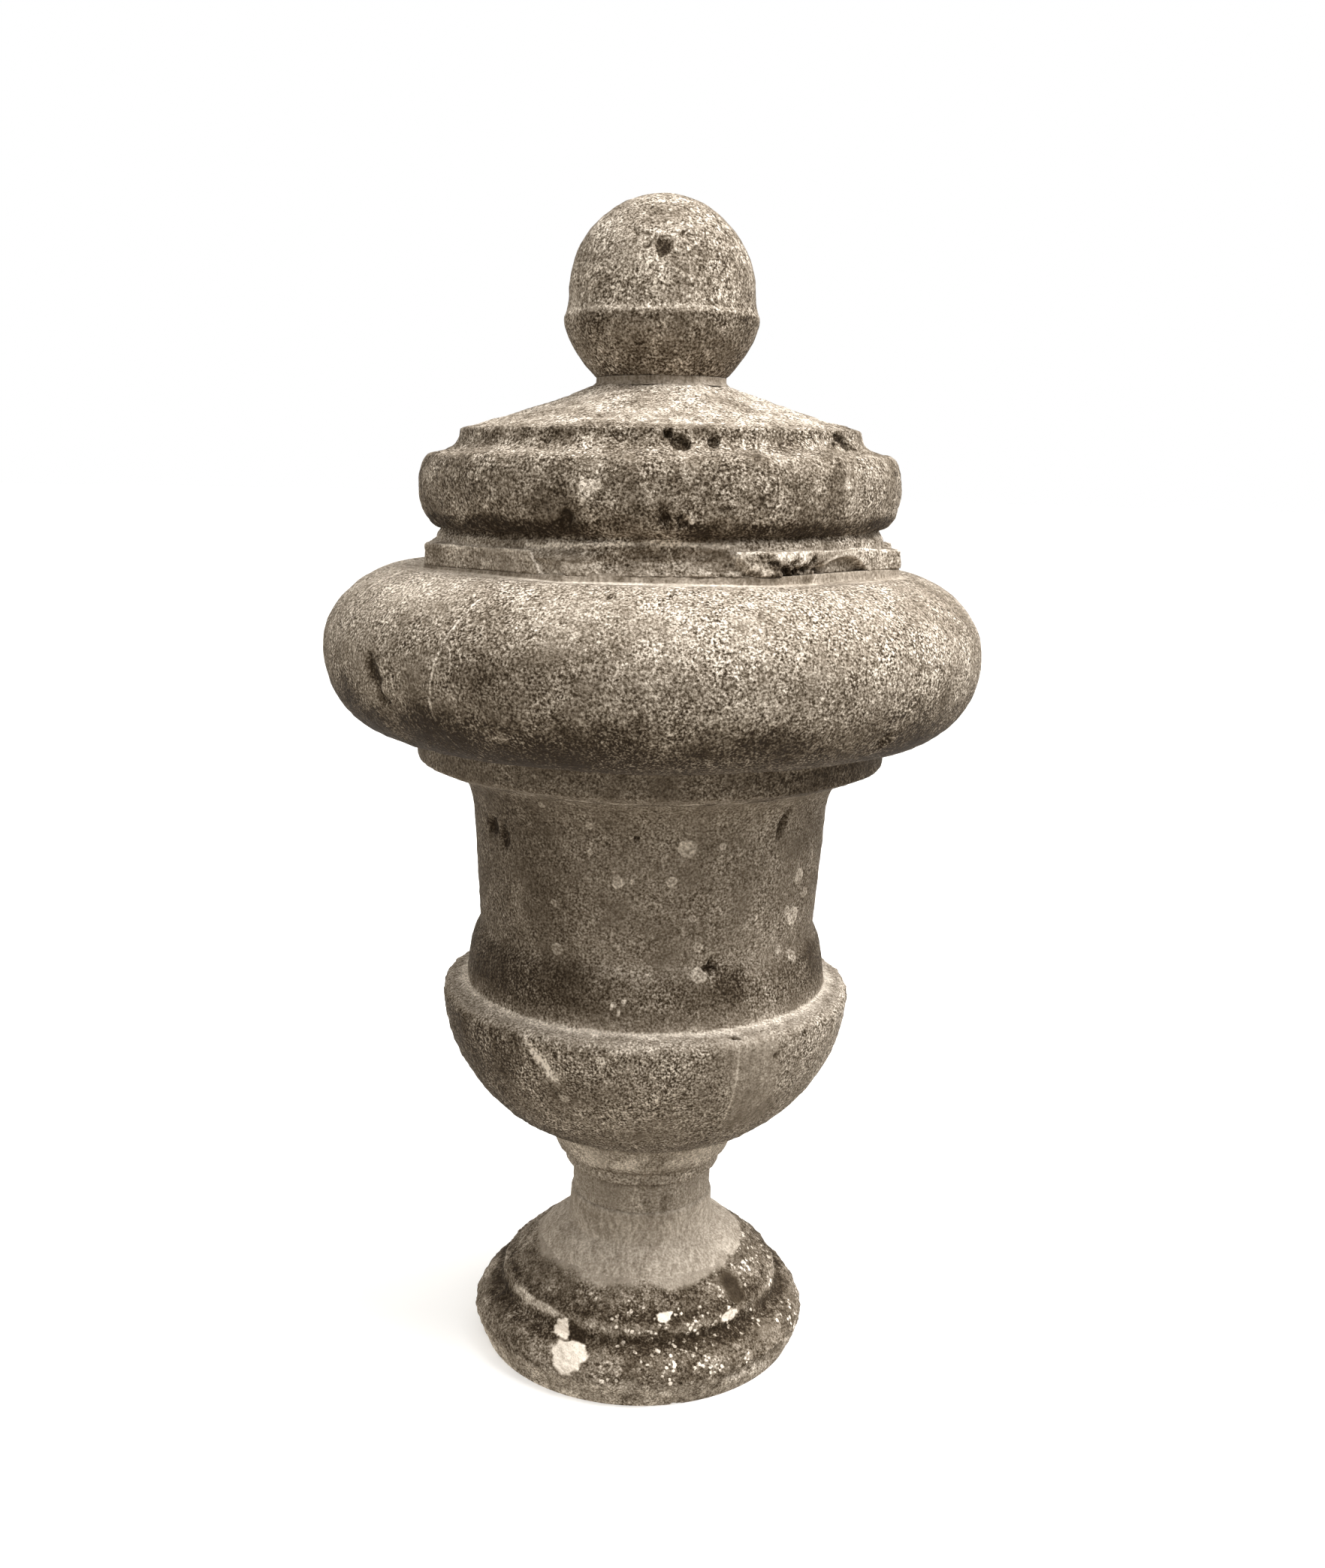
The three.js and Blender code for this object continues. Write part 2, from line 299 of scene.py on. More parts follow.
def grains(tree, place, size, detail=3.0, roughness=0.6):
    """Noise about zero whose grains are size millimetres across."""
    inputs = {"Vector": place, "Scale": 1 / (size * MM), "Detail": detail, "Roughness": roughness}
    return calc(tree, "SUBTRACT", add(tree, "ShaderNodeTexNoise", inputs).outputs["Fac"], 0.5)


def shaken(tree, place, size, amount):
    """Coordinates pushed about by noise, so that outlines drawn in them are ragged."""
    inputs = {"Vector": place, "Scale": 1 / (size * MM), "Detail": 2.0}
    push = add(tree, "ShaderNodeTexNoise", inputs).outputs["Color"]
    push = add(tree, "ShaderNodeVectorMath", {0: push, 1: (0.5, 0.5, 0.5)}, operation="SUBTRACT").outputs[0]
    inputs = {0: push, 1: (2 * amount * MM,) * 3, 2: place}
    return add(tree, "ShaderNodeVectorMath", inputs, operation="MULTIPLY_ADD").outputs[0]


def warm_grey(level):
    """The stone's colour at a brightness of 0 to 255, as a linear colour."""
    shades = np.clip(np.array((level + 11, level, level - 14)) / 255, 0.01, 1)
    linear = np.where(shades < 0.04045, shades / 12.92, ((shades + 0.055) / 1.055) ** 2.4)
    return (*linear.tolist(), 1.0)


def stone_colour(tree, brightness):
    """A ramp from dark crust and painted shade to pale bloom and painted light, by brightness."""
    ramp = add(tree, "ShaderNodeValToRGB", {"Fac": brightness})
    stops = ramp.color_ramp.elements
    levels = (26, 60, 105, 150, 195, 240)
    for level in levels[1:-1]:
        stops.new(level / 255)
    for stop, level in zip(stops, levels):
        stop.position = level / 255
        stop.color = warm_grey(level)
    return ramp.outputs["Color"]


def rosettes(tree, place, centres):
    """How far inside the nearest of some round lichens a point is: 0 at the rim, 1 in the middle."""
    ragged = shaken(tree, place, 3.0, 1.6)
    inside = 0.0
    for centre, radius in centres:
        away = add(tree, "ShaderNodeVectorMath", {0: ragged, 1: centre}, operation="DISTANCE").outputs["Value"]
        depth = calc(tree, "MULTIPLY_ADD", away, -1 / (radius * MM), 1.0)
        inside = calc(tree, "MAXIMUM", depth, inside)
    return inside


def rosette_bloom(tree, inside):
    """The brightness that a rosette adds: a pale rim, a duller middle and a pale heart."""
    ramp = add(tree, "ShaderNodeValToRGB", {"Fac": inside})
    stops = ramp.color_ramp.elements
    for place in (0.1, 0.35, 0.6, 0.85):
        stops.new(place)
    for stop, level in zip(stops, (0.0, 0.75, 1.0, 0.45, 0.8, 1.0)):
        stop.color = (level, level, level, 1.0)
    return ramp.outputs["Color"]


def stone_material(name, fine, medium, coarse, relief, lichens=(), extra=None):
    """Weathered limestone: grain, specks and blotches on the tone that the mesh carries, with its stains and
    painted shade and light.
    """
    material, tree = new_material(name)
    place = add(tree, "ShaderNodeTexCoord").outputs["Object"]
    small = grains(tree, place, 1.7, 2.0, 0.6)
    middle = grains(tree, place, 6.0, 3.0)
    large = grains(tree, place, 30.0, 4.0)
    specks = calc(tree, "MULTIPLY_ADD", small, fine, calc(tree, "MULTIPLY", middle, medium))
    specks = calc(tree, "MULTIPLY", specks, mark_value(tree, "grain"))
    specks = calc(tree, "MULTIPLY", specks, calc(tree, "MULTIPLY_ADD", large, 2.6, 1.0))
    brightness = calc(tree, "ADD", mark_value(tree, "tone"), specks)
    brightness = calc(tree, "MULTIPLY_ADD", large, coarse, brightness)

    ragged = shaken(tree, place, 2.5, 1.0)
    cells = add(tree, "ShaderNodeTexVoronoi", {"Vector": ragged, "Scale": 1 / (4.5 * MM)})
    fleck = rise(tree, cells.outputs["Distance"], 0.45, 0.25)
    fleck = calc(tree, "MULTIPLY", fleck, rise(tree, grains(tree, place, 16.0, 3.0), -0.02, 0.1))
    fleck = calc(tree, "MULTIPLY", fleck, mark_value(tree, "fleck"))
    brightness = calc(tree, "ADD", brightness, fleck)

    pore = rise(tree, grains(tree, place, 3.4, 3.0, 0.6), 0.06, 0.2)
    cluster = rise(tree, grains(tree, place, 22.0, 3.0), -0.1, 0.14)
    pore = calc(tree, "MULTIPLY", calc(tree, "MULTIPLY", pore, cluster), mark_value(tree, "pore"))
    brightness = calc(tree, "MULTIPLY_ADD", pore, -0.45, brightness)

    height = calc(tree, "MULTIPLY_ADD", middle, 2.0, small)
    height = calc(tree, "MULTIPLY_ADD", pore, -0.8, height)
    height = calc(tree, "MULTIPLY_ADD", fleck, 0.5, height)
    if lichens:
        bloom = rosette_bloom(tree, rosettes(tree, place, lichens))
        brightness = calc(tree, "MULTIPLY_ADD", bloom, 0.26, brightness)
        height = calc(tree, "MULTIPLY_ADD", bloom, 0.4, height)
    if extra:
        line = extra(tree, place)
        brightness = calc(tree, "MULTIPLY_ADD", line, 0.3, brightness)
        height = calc(tree, "ADD", line, height)
    bump = add(tree, "ShaderNodeBump", {"Strength": relief, "Distance": 1.2 * MM, "Height": height})
    rough = add(tree, "ShaderNodeMapRange", {"Value": middle, 1: -0.3, 2: 0.3, 3: 0.98, 4: 0.84})
    shader = add(tree, "ShaderNodeBsdfPrincipled", {
        "Base Color": stone_colour(tree, brightness),
        "Roughness": rough.outputs[0],
        "Normal": bump.outputs[0],
        "Specular IOR Level": 0.25,
    })
    add(tree, "ShaderNodeOutputMaterial", {"Surface": shader.outputs[0]})
    return material


def mortar_material():
    """Smoothed mortar: fine sand, faint blotches and the curved strokes of a wet brush."""
    material, tree = new_material("mortar")
    place = add(tree, "ShaderNodeTexCoord").outputs["Object"]
    sand = grains(tree, place, 1.8, 2.0, 0.5)
    cloud = grains(tree, place, 25.0, 3.0)
    swept = shaken(tree, place, 30.0, 12.0)
    swept = add(tree, "ShaderNodeMapping", {0: swept, 2: (0.5, 0.2, 0.6), 3: (1.0, 0.25, 0.25)}).outputs[0]
    stroke = grains(tree, swept, 2.6, 2.0, 0.5)
    brightness = calc(tree, "MULTIPLY_ADD", sand, 0.5, mark_value(tree, "tone"))
    brightness = calc(tree, "MULTIPLY_ADD", stroke, 0.4, brightness)
    brightness = calc(tree, "MULTIPLY_ADD", cloud, 0.2, brightness)
    height = calc(tree, "MULTIPLY_ADD", stroke, 2.0, sand)
    bump = add(tree, "ShaderNodeBump", {"Strength": 0.35, "Distance": 0.8 * MM, "Height": height})
    rough = add(tree, "ShaderNodeMapRange", {"Value": cloud, 1: -0.3, 2: 0.3, 3: 0.95, 4: 0.82})
    shader = add(tree, "ShaderNodeBsdfPrincipled", {
        "Base Color": stone_colour(tree, brightness),
        "Roughness": rough.outputs[0],
        "Normal": bump.outputs[0],
        "Specular IOR Level": 0.25,
    })
    add(tree, "ShaderNodeOutputMaterial", {"Surface": shader.outputs[0]})
    return material


# Foot


def make_foot():
    profile = Profile(127, 0).to((134.5, 21)).to((129.5, 38.5), (113.5, 42.5))
    profile.to((112, 49)).to((110, 56)).to((95, 69.5), (82, 80))
    foot = Turned(profile, 112, 440, 1.3)
    blotch = foot.waves(38, 3, 1)
    foot.lift += 0.9 * foot.waves(60, 2, 2) + 0.55 * foot.waves(9, 3, 3)

    foot.marks["tone"] = 0.31 + 0.14 * blotch + 0.08 * np.abs(np.sin(foot.angle) - 0.25)
    foot.marks["fleck"] = 0.5 * step(-50, 15, foot.degrees) * (1 - step(75, 110, foot.degrees)) + 0.12
    # Painted shade: the coves under the foot's mouldings are darkened where shade falls in them.
    crease_shade = band(39, 49, 3, foot.height) + 0.7 * band(57, 63, 3, foot.height)
    foot.marks["tone"] -= 0.17 * crease_shade
    foot.marks["tone"] += 0.1 * band(51, 56, 2, foot.height + 3 * blotch)
    foot.lift += 1.4 * np.maximum(0, foot.waves(6, 3, 23))
    foot.lift *= step(0, 6, foot.height)

    plinth = 1 - step(16, 24, foot.height + 3 * blotch)
    foot.blend("tone", 0.6 + 0.16 * blotch, plinth)
    foot.blend("fleck", 0.0, plinth)
    foot.blend("grain", 1.2, plinth)

    smear_edge = 74 + 5 * blotch + 0.05 * np.abs(foot.degrees + 5)
    smear = step(smear_edge - 1.5, smear_edge + 2.5, foot.height)
    foot.blend("tone", 0.58, smear)
    foot.blend("fleck", 0.0, smear)
    foot.blend("grain", 0.3, smear)

    for angle, height, half_width, half_height, depth in (
        (40, 17, 18, 6, 3.0),
        (52, 12, 15, 9, 3.5),
        (64, 18, 12, 6, 2.5),
        (12, 4, 14, 4, 2.0),
        (-3, 22, 14, 4, 1.6),
    ):
        foot.pit(depth, 0.55, angle, height, half_width, half_height, ragged=0.5)
    for angle, height, half_width, half_height, lean in (
        (-24, 33.5, 16.5, 13, 0),
        (-31, 45, 7, 9, 25),
        (11, 60.5, 6, 4, 0),
        (40, 52.5, 9, 3.5, 10),
    ):
        foot.patch_mark("tone", 0.9, angle, height, half_width, half_height, lean, ragged=0.45, soft=0.1)
        foot.patch_mark("grain", 0.35, angle, height, half_width, half_height, lean, ragged=0.45, soft=0.1)
    foot.patch_mark("tone", 0.68, -46, 54, 26, 3.5, ragged=0.5)
    foot.pit(0.8, 0.17, 48, 67, 11, 13)
    foot.patch_mark("grain", 0.2, 48, 67, 11, 13)
    foot.patch_mark("fleck", 0.0, 48, 67, 11, 13)
    foot.pit(1.0, 0.2, -74, 41, 9, 8)
    foot.build("foot", stone_material("lichened_stone", 1.1, 0.7, 0.35, 0.8))


def make_foot_mortar(material):
    profile = Profile(56, 80.3).to((81, 80.3)).to((85.5, 76.4)).to((73.5, 90), (61, 95.5))
    profile.to((57.3, 100), (57.3, 120)).to((56, 122))
    flare = Turned(profile, 60, 300, 0.5)
    flare.lift += 0.5 * flare.waves(25, 2, 4)
    flare.marks["tone"] = 0.6 + 0.05 * flare.waves(30, 2, 5)
    flare.build("foot_mortar", material)


# Body


def crack_line(tree, place):
    """A pale mended crack down the torus, drawn as an angle that changes with height."""
    parts = add(tree, "ShaderNodeSeparateXYZ", {0: shaken(tree, place, 8.0, 1.2)}).outputs
    angle = calc(tree, "ARCTAN2", parts["X"], calc(tree, "MULTIPLY", parts["Y"], -1.0))
    up = add(tree, "ShaderNodeMapRange", {"Value": parts["Z"], 1: 0.512, 2: 0.618}).outputs[0]
    course = add(tree, "ShaderNodeFloatCurve", {"Value": up})
    curve = course.mapping.curves[0]
    turns = ((0.0, -33.0), (0.13, -33.9), (0.3, -35.5), (0.52, -34.6), (0.73, -33.2), (1.0, -30.4))
    for _ in turns[2:]:
        curve.points.new(0.5, 0.5)
    for point, (share, turn) in zip(curve.points, turns):
        point.location = (share, (turn + 40) / 20)
    course.mapping.update()
    wanted = calc(tree, "MULTIPLY_ADD", course.outputs[0], math.radians(20), math.radians(-40))
    away = calc(tree, "ABSOLUTE", calc(tree, "SUBTRACT", angle, wanted))
    line = rise(tree, away, 1.6 / 235, 0.5 / 235)
    ends = calc(tree, "MULTIPLY", rise(tree, up, 0.0, 0.03), rise(tree, up, 1.0, 0.97))
    gaps = rise(tree, grains(tree, place, 14.0, 2.0), -0.12, 0.02)
    return calc(tree, "MULTIPLY", calc(tree, "MULTIPLY", line, ends), gaps)


NECK_LICHENS = (
    (11.6, 438.8, 7.4), (-8.9, 413.2, 4.8), (-4.6, 413.7, 2.2), (7.2, 414.8, 4.2), (-17.4, 453.9, 3.2),
    (-17.7, 433.6, 2.8), (22.6, 439.1, 3.0), (-29.3, 357.8, 5.0), (16.2, 365, 4.0), (14.1, 386.8, 3.0),
    (-30, 392.4, 3.0), (-32, 465.4, 3.0), (57, 405, 6.5), (54.7, 374.5, 8.0), (51, 381, 4.0), (54.4, 344, 5.5),
    (48, 352, 3.5), (62, 390, 5.0), (16.4, 344, 6.5), (-9.2, 324, 2.4), (-6.5, 327, 2.0), (-22.1, 253.4, 4.5),
    (-11, 289.4, 3.5),
)


def make_body():
    profile = Profile(55.7, 80.3).to((55.7, 147)).to((62.5, 148)).to((62.5, 158)).to((69, 161.5))
    profile.to((77, 183)).to((83, 186)).to((124, 202), (160, 246.5), (160, 297)).to((156.5, 300.5))
    profile.to((141.5, 304)).to((139.3, 341), (130.7, 349)).to((136, 438)).to((138, 473), (161, 475))
    profile.to((178, 482)).to((179, 500.5)).to((182, 502.5)).to((222.5, 502.5), (247.5, 528), (247.5, 567))
    profile.to((247.5, 599), (209.5, 626), (190, 626))
    body = Turned(profile, 248, 400, 1.1, [(140, 192), (294, 308), (470, 506)])
    height = body.height
    broad = body.waves(90, 2, 6)
    blotch = body.waves(40, 3, 7)
    rough = body.waves(14, 3, 8)
    torus = step(500, 505, height)
    neck = band(306, 472, 6, height)
    bowl = band(186, 298, 4, height)
    crust = np.maximum(0, body.waves(7, 3, 22))
    body.lift += 0.9 * broad + (0.2 + 0.35 * torus + 0.25 * bowl) * rough
    body.lift += (0.5 + 0.5 * bowl + 1.2 * band(292, 306, 4, height)) * crust
    bedded = step(612, 624, height)
    body.lift = body.lift * (1 - bedded) - 0.8 * bedded

    left = -np.sin(body.angle)
    tone = np.full(height.shape, 0.47)
    # Painted shade and light: the torus is darker at its sides and more so on the left, away from the key
    # light, and lighter on its upper curve, more so on the left.
    tone += torus * (0.04 + 0.09 * blotch - 0.06 * np.abs(left) - 0.05 * band(0.2, 0.6, 0.2, left))
    tone += torus * (0.06 + 0.05 * left) * step(588, 616, height)
    # Painted shade: the neck is darker on its left side and at its far right edge, and the bowl is darker on
    # its left side.
    tone += neck * (0.04 * blotch - 0.13 * step(0.1, 0.75, left) - 0.1 * step(0.65, 0.95, -left))
    tone += bowl * (0.01 + 0.07 * blotch - 0.19 * step(0.2, 0.8, left))
    # Painted shade: the lower bowl, which faces downwards, is darker.
    tone -= bowl * 0.11 * (1 - step(200, 240, height))
    # Partly dark grime and partly painted shade: the torus's underside is darker, more so on the left.
    tone -= torus * (0.33 + 0.07 * left) * (1 - step(514, 560, height + 16 * blotch))
    # Painted shade: the ring under the torus's overhang is darker, more so on the right.
    tone -= (0.05 + 0.17 * step(0.2, 0.7, -left)) * band(477, 499, 3, height)
    tone -= 0.13 * band(316, 345, 7, height + 4 * blotch)
    tone += 0.1 * band(298, 302, 2, height)
    tone += 0.26 * band(302.5, 305, 1, height + 0.8 * rough)
    tone += 0.11 * (1 - step(183, 189, height))
    # Painted shadow lines: a dark line at each step of the mouldings.
    for level in (147, 160, 185, 475, 502):
        tone -= 0.24 * band(level - 1.5, level + 1.5, 1.5, height + 0.8 * rough)
    tone += 0.08 * band(164, 181, 2, height) * (1 + 3 * blotch)
    tone += 0.12 * band(304, 309, 3, height) * step(-0.1, 0.3, rough)
    body.marks["tone"] = tone
    body.marks["grain"] = 0.7 + 0.4 * torus + 0.45 * bowl
    body.marks["fleck"] = torus * 0.2 * step(-0.5, 0.5, -left) + 0.12 * bowl
    body.marks["pore"] = 0.7 * torus + 0.4 * bowl

    drip = band(20, 36, 3, body.degrees - 0.09 * (300 - height)) * band(222, 301, 6, height)
    streaks = np.sin(1.9 * body.degrees + 2.0 * blotch)
    body.blend("grain", 0.35, drip)
    body.marks["tone"] += drip * (0.03 + 0.03 * streaks)
    body.blend("grain", 0.45, 1 - step(142, 148, height))
    body.patch_mark("tone", 0.6, -25.5, 282, 11, 11, ragged=0.5)
    body.pit(1.5, 0.56, -26, 282, 8, 10, 20, ragged=0.4)
    body.patch_mark("tone", 1.0, -27.5, 280, 2.6, 19, 40, ragged=0.3)
    # Painted shadow: a dark strip beside the pale line.
    body.patch_mark("tone", 0.3, -29, 277, 1.5, 13, 40, ragged=0.4)
    body.patch_mark("tone", 0.68, 25, 262, 1.3, 34, ragged=0.3)
    for angle, level in ((-9.8, 324), (-6.0, 327), (-7.6, 320.5)):
        body.patch_mark("tone", 0.9, angle, level, 1.2, 1.6, ragged=0.2)
    # Hollows whose near-black floors are painted shade inside them.
    body.pit(4.0, 0.12, 41, 525, 8, 6)
    body.pit(4.0, 0.05, -58, 438, 9, 7)
    body.pit(3.5, 0.08, -51, 435, 6, 9)
    body.pit(3.0, 0.2, 44.5, 449, 4, 13, -18)
    body.pit(5.0, 0.05, 20.5, 348, 7, 5, 20)
    body.pit(2.0, 0.15, -3.4, 446.5, 2.5, 2.5)
    body.pit(3.5, 0.14, -48, 555, 7, 19, 30, ragged=0.7)
    body.pit(3.5, 0.1, 24.5, 301.6, 6, 2.2, -30)
    for angle, level in ((-12.8, 625.6), (-7.7, 620.4), (3.0, 622.5)):
        body.pit(2.0, 0.15, angle, level, 2.2, 2.2)
    body.patch_mark("tone", 0.5, -24.4, 529.7, 7, 4, ragged=0.7, soft=0.5)
    body.patch_mark("tone", 0.43, -45.4, 384, 7, 12, ragged=0.8, soft=0.7)
    body.patch_mark("tone", 0.44, 20.6, 130.9, 4, 8, ragged=0.8, soft=0.6)
    body.patch_mark("tone", 0.46, 5.6, 128.4, 3, 6, ragged=0.8, soft=0.6)
    body.patch_mark("tone", 0.76, -8, 172, 12, 5, 20, ragged=0.6)
    body.patch_mark("tone", 0.74, 22, 170, 9, 4, -15, ragged=0.6)
    for angle in (-31, -17, -6, 9, 21, 36):
        body.patch_mark("tone", 0.66, angle, 476, 10, 2.0, ragged=0.6)
    # Small hollows whose dark floors are painted shade inside them.
    body.pit(1.5, 0.2, 36.7, 285.7, 3, 2)
    body.pit(1.5, 0.2, 47.4, 295.8, 3, 2)
    body.patch_mark("tone", 0.22, 27.7, 333, 14, 12, ragged=0.5, soft=0.35)
    centres = [(body.spot(angle, level), radius) for angle, level, radius in NECK_LICHENS]
    material = stone_material("stone", 1.7, 0.45, 0.25, 0.8, centres, crack_line)
    body.build("body", material)


# Lid


def slab_radius(degrees):
    """Distance from the axis to the slab's eight-sided edge, by angle."""
    fold = (degrees - SLAB_TURN + 22.5) % 45 - 22.5
    return SLAB_FACE / np.cos(np.radians(fold))


def on_face(grid, turn):
    """Places along one of the slab's faces from its middle, and distances out towards that face."""
    aim = np.radians(grid.degrees - turn)
    radius = grid.radius - grid.inset
    return radius * np.sin(aim), radius * np.cos(aim)


def slab_break(across, height, soft):
    """1 where the front face is broken off, with a left and a right edge that lean outwards going down."""
    left = BREAK_LEFT - 0.5 * height
    right = BREAK_RIGHT - 0.8 * height
    return step(left - soft, left + soft, across) * (1 - step(right - soft, right + soft, across))


def bite(across, out, height):
    """How far inside the arched bite a point of the right face is: above 0 inside, 0 on the arch."""
    inside = 1 - ((across - BITE_OFFSET) / (0.5 * BITE_WIDTH)) ** 2 - height / BITE_H
    return np.where(out > 0, inside, -1)


def make_lid_mortar(material):
    """The bed under the slab, feathered out over the torus, with the fill in the break and the bite."""
    profile = Profile(BED_INNER_R, 626.3).to((BED_OUTER_R, 619.5))
    profile.to((192, 625.6), (SLAB_CORNER + 0.4, BED_LOW_Z)).to((SLAB_CORNER + 0.1, BED_HIGH_Z))
    profile.to((BED_INNER_R, 630.0))
    bed = Turned(profile, 64, 560, 0.35)
    past_foot = np.arange(64)[:, None] >= np.argmax(bed.profile[:, 0])
    upper = past_foot * (1 - np.clip((bed.radius - SLAB_CORNER) / (BED_OUTER_R - SLAB_CORNER), 0, 1))
    inner = np.clip((bed.radius - BED_INNER_R) / (SLAB_CORNER - BED_INNER_R), 0, 1)
    bed.inset = upper * inner * (SLAB_CORNER - slab_radius(bed.degrees))
    top = past_foot * step(BED_LOW_Z, 629.8, bed.height)
    across, out = on_face(bed, SLAB_TURN)
    broken = slab_break(across, 0, 4) * (out > 0)
    mound = 1.6 * np.exp(-(((across + 35) / 14) ** 2))
    bed.raised = top * (math.tan(-LID_LEAN) * bed.points[..., 0] + broken * (0.6 + mound))
    bed.inset += top * 2.5 * broken
    across, out = on_face(bed, SLAB_TURN + 45)
    local = bed.height + bed.raised - LID_Z - math.tan(-LID_LEAN) * bed.points[..., 0]
    arch = bite(across, out, local)
    ragged = bed.waves(18, 3, 9)
    bed.lift = past_foot * (1 - top) * (0.3 * ragged + 0.4 * bed.waves(45, 2, 20))

    front = band(-34, 22, 8, bed.degrees)
    tone = 0.62 + 0.05 * bed.waves(25, 2, 10) + 0.14 * front
    bed.marks["tone"] = tone
    bed.blend("tone", 0.54, 1 - step(0.35, 0.75, upper + 0.15 * ragged))
    face_tone = 0.45 + 0.12 * ragged + 0.03 * broken + 0.08 * band(35, 75, 6, bed.degrees)
    bed.blend("tone", face_tone, step(BED_LOW_Z, 626.4, bed.height) * past_foot)
    bed.blend("tone", 0.5, step(0.0, 0.2, arch) * (local > -7))
    bed.blend("tone", 0.8, band(-0.12, -0.02, 0.05, arch + 0.05 * ragged) * (local > -8))
    bed.build("lid_mortar", material, Matrix.Translation((LID_SHIFT_X, 0, 0)))


def make_lid(material):
    profile = Profile(SLAB_CORNER, 0).to((SLAB_CORNER, SLAB_H)).to((RECESS_R, 16))
    profile.to((RECESS_R, 19.5)).to((163.5, 25))
    profile.to((183.8, 27), (183.8, 76), (170, 78)).to((161.5, 80)).to((148.5, 83), (148.5, 95.5))
    profile.to((97, 108.5), (52, 127))
    lid = Turned(profile, 150, 640, 0.8)
    height = lid.height
    blotch = lid.waves(40, 3, 11)
    patch = lid.waves(16, 3, 21)
    rough = lid.waves(12, 3, 12)
    crumbs = lid.waves(14, 4, 14)
    lid.lift += 0.9 * lid.waves(70, 2, 13) + 0.8 * rough
    lid.lift += 0.7 * crumbs * (lid.along > SLAB_ARC)

    side = 1 - step(SLAB_H - 2, SLAB_H + 2, lid.along)
    slab = lid.along < SLAB_ARC
    rim = np.clip((lid.radius - RECESS_R) / (SLAB_CORNER - RECESS_R), 0, 1) * slab
    lid.inset = rim * (SLAB_CORNER - slab_radius(lid.degrees))

    front_across, out = on_face(lid, SLAB_TURN)
    broken = slab_break(front_across + 4 * crumbs, height, 1.5) * (height < 23) * (out > 0)
    wall = SLAB_FACE - BREAK_DEPTH + 0.25 * (16 - height)
    wall = np.minimum(wall, SLAB_FACE * math.sqrt(2) - 5 + front_across) + 1.6 * crumbs
    lid.inset += broken * (lid.radius - lid.inset) * np.maximum(0, 1 - wall / np.maximum(out, 1))
    lid.raised += broken * slab * (16 * lid.along / SLAB_ARC - height)

    across, out = on_face(lid, SLAB_TURN + 45)
    arch = bite(across, out, height + 0.8 * crumbs)
    inside = step(-0.02, 0.14, arch) * side
    lip = band(-0.2, -0.03, 0.06, arch) * side * (height < 13)
    lid.inset += BITE_DEPTH * inside - 0.7 * lip
    eaten = band(-62, -14, 5, across + 5 * crumbs) * (1 - step(5, 9, height + 3 * crumbs)) * side * (out > 0)
    lid.inset += eaten * (2.0 + 8 * np.maximum(0, lid.waves(9, 3, 15)))
    fallen = step(20, 68, across) * (out > 120) * (lid.degrees < 80)
    lid.raised -= 3.0 * fallen * slab * np.minimum(1, lid.along / SLAB_H)

    cone = step(96, 100, height)
    torus = band(28, 78, 2, height)
    tone = 0.41 + 0.08 * blotch + 0.11 * patch + 0.14 * cone
    # Painted shadow: a dark strip in the recess under the lid's torus, left out at the front where mortar
    # smears across it.
    tone -= (0.22 - 0.2 * band(-16, 6, 4, lid.degrees)) * band(24.5, 35, 3, height + 3 * blotch)
    # The slab is paler, and its left side is lighter still by painted light.
    tone += (height < 22) * (0.1 + 0.05 * step(0.1, 0.5, -np.sin(lid.angle)))
    tone += 0.12 * band(SLAB_H - 1.5, SLAB_H + 2.5, 1, lid.along + 2 * crumbs)
    edges = broken * (1 - broken) * 4
    tone += 0.03 * broken + 0.2 * edges + 0.3 * lip + 0.02 * inside - 0.3 * eaten * step(-0.2, 0.2, rough)
    break_top = 21 - 0.035 * np.abs(front_across + 10) + crumbs
    # Painted highlight along the break's top edge, and painted shadow in a band just under it.
    tone += 0.28 * slab_break(front_across, height, 4) * band(break_top - 1, break_top + 1.5, 0.8, height)
    tone -= 0.12 * slab_break(front_across, height, 4) * band(break_top - 6, break_top - 2, 1.5, height)
    tone += 0.4 * side * band(24, 75, 4, front_across) * crumbs
    lid.marks["tone"] = tone
    lid.marks["pore"] = 0.9 * torus + 0.7 * cone + 0.3 * side
    lid.marks["fleck"] = 0.15 + 0.1 * cone
    lid.blend("grain", 0.75, slab)
    # Hollows in the cornice, torus and slab, whose dark floors are painted shade inside them.
    lid.pit(4.5, 0.12, 1.6, 91.7, 3.5, 3.5, ragged=0.2)
    lid.pit(4.5, 0.17, 4.9, 84.6, 7, 7)
    lid.pit(3.0, 0.17, 13.1, 86.7, 4, 4)
    for angle, level, size in ((57, 87, 6), (54, 90, 3), (60, 84, 4), (51, 86, 2.5)):
        lid.pit(3.5, 0.1, angle, level, size, size, ragged=0.7)
    for angle, level, size in ((-30, 86, 2), (-11, 90, 1.3), (24, 92, 1.6), (32, 86, 2.4), (43, 91, 1.5)):
        lid.pit(1.8, 0.22, angle, level, 1.6 * size, size, ragged=0.9)
    for angle, level in ((24, 10), (27, 5), (30.5, 8), (31, 2.5), (34, 5), (36.5, 9), (38, 3.5)):
        lid.pit(3.0, 0.12, angle, level, 4, 2.6, ragged=0.9)
    for angle, level in ((20, 7), (22.5, 3), (25.5, 13), (29, 12.5), (33, 12)):
        lid.patch_mark("tone", 0.78, angle, level, 4.5, 2.2, ragged=0.8)
